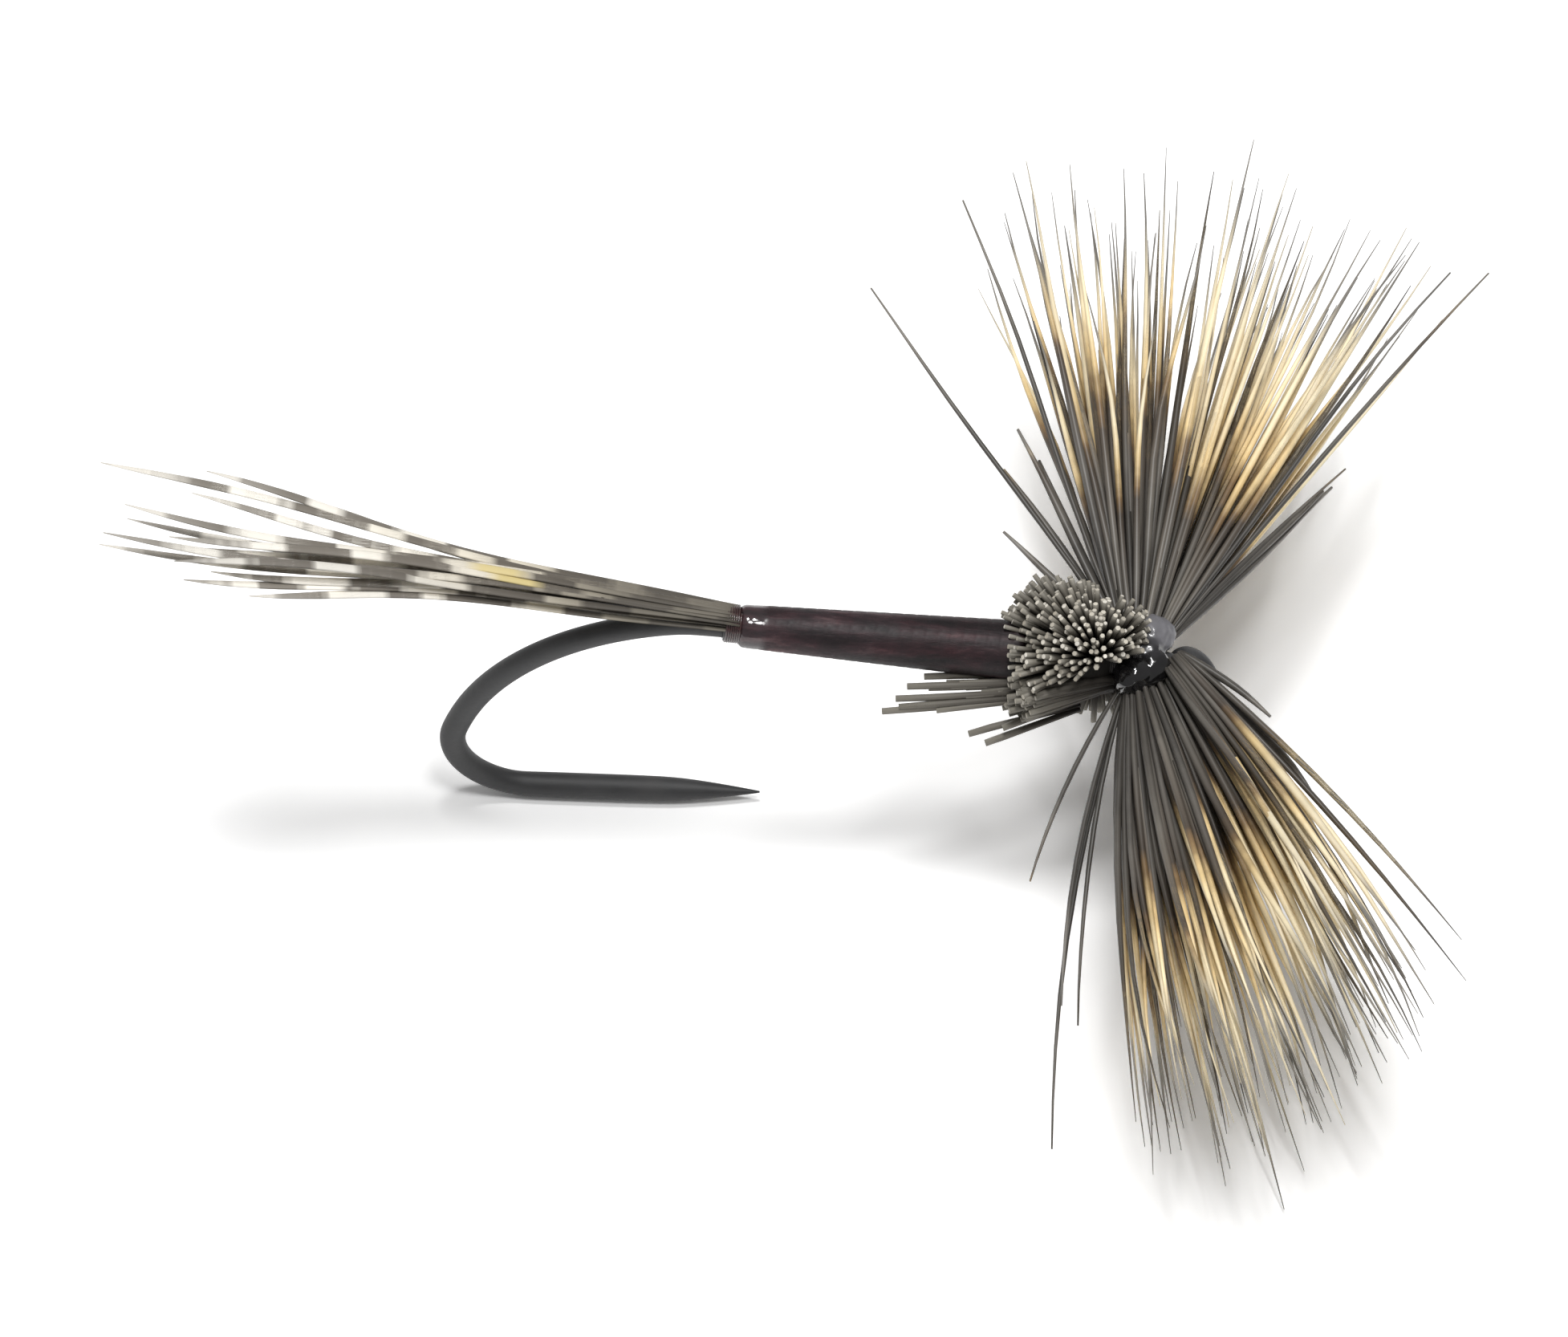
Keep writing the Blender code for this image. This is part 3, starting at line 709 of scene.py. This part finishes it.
butts = {
    "tieIn": 7.15 * mm, "centre": 6.76 * mm, "halfLength": 1.52 * mm, "radius": 1.46 * mm,
    "squareness": 3.0, "lumps": 0.14, "lumpCount": 2.6,
    "tries": 1120, "scatter": 0.025,  # stubs all round, of which those in the way are left out
    "stubRadius": 0.057 * mm, "stoutness": (0.82, 1.15), "sides": 6, "inset": 0.2,
    "uneven": 0.14, "unevenRange": (-1, 0.5), "innerShare": 0.42, "sway": 0.03,
    "stations": (0.0, 0.8, 1.0), "fullness": (0.8, 1.0, 0.92),
    "core": (1.0, 0.74, 0.74), "coreBack": 0.1 * mm, "coreSides": 32, "coreOwn": 0.3,
    "clear": 0.62 * mm, "front": 8.1 * mm,
    "besideWings": 7.1 * mm, "besideShare": 0.6,  # the front of those that point this far sideways
    "seed": 8, "columns": 36, "streaks": 4.0, "streakWander": 0.1, "streakDepth": 0.006 * mm,
}
lyingButts = {  # those on the near side that lie back along the body
    "count": 70, "from": math.radians(-18), "to": math.radians(66),
    "root": 7.5 * mm, "rootReach": 0.55 * mm, "rootRange": (0.8, 1.1),
    "end": 5.35 * mm, "endSpread": 0.6 * mm, "endReach": 1.36 * mm, "endRange": (0.72, 1.0),
    "radius": 0.062 * mm, "stoutness": (0.85, 1.15),
    "stubsFrom": 5.8 * mm, "climb": math.radians(22) / mm,  # ahead of this, stubs stay above them
}
missedButts = {
    "ends": (  # of the few that the scissors missed: along the shank, across and up, in mm
        (2.98, -1.19, -0.80), (3.22, -1.02, -0.56), (3.42, -0.84, -0.36), (3.85, -0.80, -0.40),
        (4.05, -1.10, -0.72), (4.75, -1.25, -1.25), (4.60, -0.86, -0.50), (5.10, -1.35, -1.37),
        (3.30, -1.12, -0.70), (5.40, -1.20, -1.00), (3.75, -0.56, -0.38), (4.20, -0.64, -0.42),
        (4.60, -0.62, -0.54), (4.90, -0.74, -0.42), (4.45, -0.70, -0.30)),
    "root": 6.9 * mm, "rootShare": 0.55, "radius": 0.074 * mm,
}


def cutHair():
    material, shader = newMaterial("cut_hair", 0.6, specular=0.4)
    tree = material.node_tree
    along, streak, shade, shift, _ = grainOf(tree, butts["streaks"])
    tip = mathNode(tree, "ADD", along, swing(tree, streak, butts["streakWander"]))
    sides = rampNode(tree, tip, [
        (0.0, srgb(42, 39, 36)), (0.5, srgb(92, 88, 82)), (0.86, srgb(120, 116, 108)),
        (0.99, srgb(144, 140, 131))])
    ends = rampNode(tree, shift, [
        (0.0, srgb(168, 161, 148)), (0.55, srgb(206, 200, 188)), (1.0, srgb(244, 240, 232))])
    colour = mixColour(tree, attributeOf(tree, "cutEnd"), sides, ends)
    level = rampNode(tree, shade, [(0.0, (0.72, 0.71, 0.69, 1)), (1.0, (1.12, 1.11, 1.08, 1))])
    colour = mixColour(tree, 1.0, colour, level, "MULTIPLY")
    plug(tree, shader.inputs["Base Color"], colour)
    plug(tree, shader.inputs["Normal"], bumpNode(tree, streak, butts["streakDepth"]))
    return material


def stubBlank(sides, rings):  # a strand whose cut end has a paler middle
    blank = strandBlank(sides, rings)
    bpy.context.tool_settings.mesh_select_mode = (False, False, True)
    editAll(blank, (bpy.ops.mesh.select_all, {"action": "DESELECT"}))
    for polygon in blank.data.polygons:  # the cut end, the only face that looks up
        polygon.select = polygon.normal.z > 0.9
    bpy.ops.object.mode_set(mode="EDIT")
    bpy.ops.mesh.inset(thickness=butts["inset"])
    bpy.ops.object.mode_set(mode="OBJECT")
    return blank


def nearSideAngle(point):  # how far below the level a point lies on the near side
    return math.atan2(-point.z, -point.y)


def planStubs(rng):
    b, lying = butts, lyingButts
    centre = Vector((b["centre"], 0, 0))
    tie = Vector((b["tieIn"], 0, 0))
    golden = math.pi * (3 - math.sqrt(5))
    stubs = []
    for k in range(b["tries"]):
        x = 1 - 2 * (k + 0.5) / b["tries"]
        ring = math.sqrt(1 - x * x)
        out = Vector((x, ring * math.sin(golden * k), ring * math.cos(golden * k)))
        out = (out + Vector([rng.gauss(0, b["scatter"]) for _ in range(3)])).normalized()
        power = b["squareness"]
        trimmed = (abs(out.x) / b["halfLength"]) ** power
        trimmed += (math.hypot(out.y, out.z) / b["radius"]) ** power
        lumps = b["lumps"] * noise.noise(out * b["lumpCount"])
        uneven = b["uneven"] * rng.uniform(*b["unevenRange"])
        end = centre + out * trimmed ** (-1 / power) * (1 + lumps + uneven)
        radius = b["stubRadius"] * rng.uniform(*b["stoutness"])
        reach = math.hypot(end.y, end.z)
        front = b["besideWings"] if abs(end.y) > b["besideShare"] * reach else b["front"]
        above = lying["from"] - lying["climb"] * (end.x - lying["stubsFrom"])
        if above < nearSideAngle(end) < lying["to"]:
            front = lying["stubsFrom"]
        if end.x < front and reach > b["clear"]:
            stubs.append((tie + (end - tie) * b["innerShare"], end, radius))
    return stubs


def planLying(rng):
    lying, missed = lyingButts, missedButts
    hairs = []
    for _ in range(lying["count"]):
        angle = lying["from"] + (lying["to"] - lying["from"]) * rng.random()
        out = Vector((0, -math.cos(angle), -math.sin(angle)))
        root = Vector((lying["root"], 0, 0))
        root += out * lying["rootReach"] * rng.uniform(*lying["rootRange"])
        end = Vector((lying["end"] + lying["endSpread"] * rng.random(), 0, 0))
        end += out * lying["endReach"] * rng.uniform(*lying["endRange"])
        hairs.append((root, end, lying["radius"] * rng.uniform(*lying["stoutness"])))
    for place in missed["ends"]:
        end = Vector(place) * mm
        root = Vector((missed["root"], end.y * missed["rootShare"], end.z * missed["rootShare"]))
        hairs.append((root, end, missed["radius"]))
    return hairs


def sortFaces(obj):  # a new ball lists its faces in an order that changes from run to run
    mesh = obj.data
    field = mesh.uv_layers["OFBake"].data
    faces = []
    for polygon in mesh.polygons:
        corners = [(mesh.loops[k].vertex_index, *field[k].uv) for k in polygon.loop_indices]
        first = corners.index(min(corners))
        faces.append(corners[first:] + corners[:first])
    faces.sort()
    sortedMesh = bpy.data.meshes.new(mesh.name)
    sortedMesh.from_pydata(
        [vertex.co for vertex in mesh.vertices], [],
        [[corner[0] for corner in face] for face in faces], shade_flat=False)
    spots = [value for face in faces for corner in face for value in corner[1:]]
    sortedMesh.uv_layers.new(name="OFBake").data.foreach_set("uv", spots)
    obj.data = sortedMesh


def makeButtCore():  # the dark middle that the stubs stand on
    b = butts
    bpy.ops.object.select_all(action="DESELECT")
    bpy.ops.mesh.primitive_uv_sphere_add(
        segments=b["coreSides"], ring_count=b["coreSides"] // 2, radius=1)
    core = bpy.context.view_layer.objects.active
    bpy.ops.object.shade_smooth()
    stretchBall(Vector(b["core"]) * mm, (b["centre"] - b["coreBack"], 0, 0))
    core.data.uv_layers[0].name = "OFBake"
    sortFaces(core)
    for name, value in (("along", 0.0), ("strand", b["coreOwn"]), ("cutEnd", 0.0)):
        setAttribute(core.data, name, np.full(len(core.data.vertices), value))
    return core


def makeButts():
    b = butts
    rng = random.Random(b["seed"])
    blank = stubBlank(b["sides"], len(b["stations"]))
    places = pointsOf(blank.data)
    inside = np.hypot(places[:, 0], places[:, 1]) < 1 - b["inset"] / 2
    cutEnd = (places[:, 2] > 0.99) & inside
    plan = planStubs(rng) + planLying(rng)
    total = len(plan) + 1
    stubs = []
    for number, (root, end, radius) in enumerate(plan):
        sway = Vector((0, rng.gauss(0, b["sway"]), rng.gauss(0, b["sway"]))) * (end - root).length

        def line(share):
            return root + (end - root) * share + sway * share * (1 - share)

        radii = radius * np.array(b["fullness"])
        stub = bendStrand(blank, line, radii, b["stations"], (number + 0.5) / total)
        placeInField(stub.data, number, total, b["columns"])
        setAttribute(stub.data, "cutEnd", cutEnd)
        stubs.append(stub)
    core = makeButtCore()
    placeInField(core.data, total - 1, total, b["columns"])
    bundle = gatherStrands(blank, stubs + [core])
    finishPiece(bundle, "clipped_hair_butts", cutHair(), "cut_hair", "clipped_butts")


# wings: two spent bundles of barred hair

wings = {
    "shortest": 0.86, "runts": 0.14, "runtLength": 0.5, "stoutness": (0.78, 1.15),
    "edgeThinning": 0.8, "fullest": 0.3,  # how the wing's depth closes, and where hairs are densest
    "thickness": (  # along the hair, radius in mm
        (0, 0.045), (0.06, 0.06), (0.18, 0.076), (0.4, 0.08), (0.6, 0.063), (0.8, 0.033),
        (1, 0.008)),
    "strayEnd": 0.84, "strayOnset": 0.58,  # how far a stray thins, and how much later it turns gold
    "shortStray": 1.1, "longStray": 0.7,  # their stoutness
    "stations": (0, 0.05, 0.11, 0.2, 0.32, 0.44, 0.56, 0.68, 0.79, 0.9, 1.0),
    "sides": 5, "columns": 16, "jitter": 0.03 * mm,
    "curl": 0.028, "curlAlong": 0.3, "ripple": 0.010, "rippleBeats": 6,
    "streaks": 14.0, "bandWander": 0.3, "streakWander": 0.12, "tipWander": 0.2, "fineShare": 0.7,
}
# angles in degrees: yaw is towards the eye, rise above the level; a lock is its yaw and its count
# of hairs, a stray is its yaw, rise and share of the full length, and the onset is how much later
# the hairs of a yaw turn gold
leftWing = {
    "name": "left_wing", "side": 1, "seed": 21, "length": 11.1 * mm,
    "lowest": -28, "highest": 20, "loose": 1.6,
    "locks": (
        (-16, 5), (-13, 8), (-10, 9), (-7, 10), (-4, 11), (-1, 9), (2, 7), (5.5, 4), (9, 11),
        (12, 13), (15, 13), (18, 11), (21.5, 10), (25.5, 9), (29, 6)),
    "onset": ((-16, 0.08), (-4, 0.13), (4, 0.14), (12, 0.0), (26, -0.06)),
    "root": Vector((8.0, 0.30, 0.10)) * mm, "rootWidth": 0.40 * mm, "rootHeight": 0.36 * mm,
    "frontShift": Vector((0, 0, 0)), "gather": 0.0,
    "strays": (
        (-32, 6, 0.38), (-29, 9, 0.44), (-27, 3, 0.40), (-37, 7, 0.80), (-50, 4, 0.30),
        (-23, 9, 0.90), (30, 8, 0.88), (34, 9, 0.94), (37, 5, 0.50), (39, 1, 0.48), (41, 4, 0.46)),
}
rightWing = {
    "name": "right_wing", "side": -1, "seed": 34, "length": 10.4 * mm,
    "lowest": -30, "highest": 18, "loose": 2.2,
    "locks": (
        (0, 10), (3.5, 11), (7, 12), (11, 11), (15, 11), (19, 12), (23, 12), (27, 12), (31, 13),
        (35, 12), (38.5, 11), (41.5, 8)),
    "onset": ((0, 0.18), (12, 0.12), (24, 0.0), (42, -0.07)),
    "root": Vector((8.24, -0.34, -0.04)) * mm, "rootWidth": 0.48 * mm, "rootHeight": 0.32 * mm,
    "frontShift": Vector((0, 0.34, 0.41)) * mm, "gather": 0.13,
    "strays": (
        (-28, -8, 0.50), (-16, -6, 0.74), (-13, -9, 0.72), (-14, -12, 0.98), (49, -4, 0.42),
        (58, 2, 0.24)),
}


def deerHair():
    w = wings
    material, shader = newMaterial("deer_hair", 0.42, specular=0.45)
    tree = material.node_tree
    along, streak, shade, shift, kind = grainOf(tree, w["streaks"])
    zone = mathNode(tree, "ADD", along, swing(tree, shift, w["bandWander"]))
    zone = mathNode(tree, "ADD", zone, swing(tree, streak, w["streakWander"]))
    zone = mathNode(tree, "SUBTRACT", zone, attributeOf(tree, "onset"))
    barred = rampNode(tree, zone, [
        (0.0, srgb(76, 73, 69)), (0.14, srgb(108, 104, 98)), (0.26, srgb(99, 93, 86)),
        (0.37, srgb(80, 72, 64)), (0.42, srgb(130, 106, 76)), (0.5, srgb(230, 203, 150)),
        (0.64, srgb(251, 236, 200)), (1.0, srgb(246, 234, 208))])
    tipZone = mathNode(tree, "ADD", along, swing(tree, kind, w["tipWander"]))
    tipShare = rampNode(tree, tipZone, [(0.76, grey(0.0)), (0.9, grey(1.0))])
    paleTipped = rampNode(tree, kind, [(0.0, grey(0.35)), (0.22, grey(1.0))], "CONSTANT")
    tipShare = mathNode(tree, "MULTIPLY", tipShare, paleTipped)
    colour = mixColour(tree, tipShare, barred, srgb(132, 128, 122))
    plain = rampNode(tree, zone, [
        (0.0, srgb(76, 73, 69)), (0.2, srgb(102, 98, 92)), (0.5, srgb(74, 68, 61)),
        (0.75, srgb(98, 87, 72)), (1.0, srgb(88, 85, 82))])
    darkHairs = rampNode(tree, shade, [(0.0, grey(1.0)), (0.16, grey(0.0))], "CONSTANT")
    colour = mixColour(tree, darkHairs, colour, plain)
    level = rampNode(tree, shade, [
        (0.0, (0.78, 0.77, 0.75, 1)), (0.5, grey(1.0)), (1.0, (1.16, 1.14, 1.1, 1))])
    colour = mixColour(tree, 1.0, colour, level, "MULTIPLY")
    fine = rampNode(tree, streak, [(0.25, grey(0.8)), (0.75, grey(1.15))])
    colour = mixColour(tree, w["fineShare"], colour, fine, "MULTIPLY")
    plug(tree, shader.inputs["Base Color"], colour)
    return material


def acrossWing(wing, yaw):  # from -1 at the wing's rear edge to 1 at its front one
    first, last = wing["locks"][0][0], wing["locks"][-1][0]
    return max(-1, min(1, 2 * (yaw - first) / (last - first) - 1))


def planHairs(wing, rng):
    w = wings
    plan = []
    for middle, count in wing["locks"]:
        closing = math.sqrt(1 - w["edgeThinning"] * acrossWing(wing, middle) ** 2)
        depth = 0.5 * (wing["highest"] - wing["lowest"]) * closing
        level = 0.5 * (wing["highest"] + wing["lowest"])
        for _ in range(count):
            yaw = middle + rng.gauss(0, wing["loose"])
            rise = level + depth * rng.triangular(-1, 1, w["fullest"])
            reach = rng.uniform(w["shortest"], 1.0)
            if rng.random() < w["runts"]:
                reach = rng.uniform(w["runtLength"], w["shortest"])
            onset = interpolate(yaw, wing["onset"])
            plan.append((yaw, rise, reach, 1.0, onset, rng.uniform(*w["stoutness"])))
    rng.shuffle(plan)
    for yaw, rise, reach in wing["strays"]:
        stoutness = w["shortStray"] if reach < w["runtLength"] else w["longStray"]
        plan.append((yaw, rise, reach, w["strayEnd"], w["strayOnset"], stoutness))
    return plan


def makeWing(wing, finish):
    w = wings
    rng = random.Random(wing["seed"])
    blank = strandBlank(w["sides"], len(w["stations"]))
    plan = planHairs(wing, rng)
    level = 0.5 * (wing["highest"] + wing["lowest"])
    hairs = []
    for number, (yaw, rise, reach, end, onset, stoutness) in enumerate(plan):
        turn, tilt = math.radians(yaw), math.radians(rise)
        heading = Vector((
            math.sin(turn) * math.cos(tilt), wing["side"] * math.cos(turn) * math.cos(tilt),
            math.sin(tilt)))
        across = acrossWing(wing, yaw)
        up = (rise - level) / (wing["highest"] - level)
        root = wing["root"] + Vector((wing["rootWidth"] * across, 0, wing["rootHeight"] * up))
        root += wing["frontShift"] * max(0, across)
        root += Vector((rng.gauss(0, 1), 0, rng.gauss(0, 1))) * w["jitter"]
        bend = Vector((rng.gauss(0, 1), rng.gauss(0, w["curlAlong"]), rng.gauss(0, 1))) * w["curl"]
        bend.x -= wing["gather"] * across
        ripple = Vector((rng.gauss(0, 1), 0, rng.gauss(0, 1))) * w["ripple"]
        phase = rng.uniform(0, 2 * math.pi)
        length = wing["length"] * reach
        radii = interpolate(np.array(w["stations"]) * end, w["thickness"]) * mm * stoutness

        def line(share):
            wave = ripple * (share * math.sin(phase + w["rippleBeats"] * share))
            return root + (heading * share + bend * share ** 2 + wave) * length

        hair = bendStrand(blank, line, radii, w["stations"], (number + 0.5) / len(plan))
        setAttribute(hair.data, "onset", np.full(len(hair.data.vertices), onset))
        placeInField(hair.data, number, len(plan), w["columns"])
        hairs.append(hair)
    bundle = gatherStrands(blank, hairs)
    finishPiece(bundle, wing["name"] + "_hair", finish, "deer_hair", wing["name"])


# stage: a white table, a softbox and a window overhead, and a camera at the photograph's angle

stage = {
    "floorSize": 3.0, "floorTone": 0.98, "floorSeen": 1.29, "ambient": 0.25,
    "softbox": {"place": (-0.015, 0.036, 0.33), "size": 0.075, "power": 0.62},
    "window": {"place": (0.045, -0.055, 0.32), "size": 0.065, "power": 0.32},
    "azimuth": math.radians(2.3), "elevation": math.radians(57),
    "distance": 600 * mm, "frameWidth": 30.96 * mm, "clipStart": 10 * mm,
    "tieInRight": -0.9 * mm, "tieInUp": 0.846 * mm,  # of the tail's tie-in, from the frame's centre
}


def makeLamp(name, settings, target):
    lamp = bpy.data.lights.new(name, "AREA")
    lamp.shape = "SQUARE"
    lamp.size = settings["size"]
    lamp.energy = settings["power"]
    holder = addObject(name, lamp)
    holder.location = settings["place"]
    holder.rotation_euler = (target - holder.location).to_track_quat("-Z", "Y").to_euler()


def makeStage():
    s = stage
    bpy.ops.object.select_all(action="DESELECT")
    bpy.ops.mesh.primitive_plane_add(size=s["floorSize"])
    floor = bpy.context.view_layer.objects.active
    floor.name = "floor"
    material = bpy.data.materials.new("white_table")
    material.use_nodes = True
    tree = material.node_tree
    path = addNode(tree, "ShaderNodeLightPath").outputs
    seen = mathNode(tree, "MAXIMUM", path["Is Camera Ray"], path["Is Glossy Ray"])
    seen = mathNode(tree, "MAXIMUM", seen, path["Is Transmission Ray"])
    # the camera sees it whiter than it lights the fly
    tone = mixColour(tree, seen, grey(s["floorTone"]), grey(s["floorSeen"]))
    paint = addNode(tree, "ShaderNodeBsdfDiffuse", {"Color": tone})
    plug(tree, tree.nodes["Material Output"].inputs["Surface"], paint.outputs["BSDF"])
    floor.data.materials.append(material)

    world = bpy.data.worlds.new("softRoom")
    bpy.context.scene.world = world
    world.use_nodes = True
    background = world.node_tree.nodes["Background"]
    background.inputs["Color"].default_value = grey(1.0)
    background.inputs["Strength"].default_value = s["ambient"]

    camera = bpy.data.cameras.new("camera")
    holder = addObject("camera", camera)
    turn, tilt = s["azimuth"], s["elevation"]
    back = Vector((
        math.sin(turn) * math.cos(tilt), -math.cos(turn) * math.cos(tilt), math.sin(tilt)))
    right = Vector((math.cos(turn), math.sin(turn), 0))
    aim = tailTieIn - right * s["tieInRight"] - back.cross(right) * s["tieInUp"]
    holder.location = aim + back * s["distance"]
    holder.rotation_euler = back.to_track_quat("Z", "Y").to_euler()
    camera.lens = camera.sensor_width * s["distance"] / s["frameWidth"]
    camera.clip_start = s["clipStart"]
    bpy.context.scene.camera = holder
    bpy.context.scene.view_settings.view_transform = "Standard"
    makeLamp("softbox", s["softbox"], aim)
    makeLamp("window", s["window"], aim)
    print("stage set")


makeStage()
makeHook()
makeThreads()
makeCement()
makeAbdomen()
makeTail()
makeButts()
hairFinish = deerHair()
makeWing(leftWing, hairFinish)
makeWing(rightWing, hairFinish)
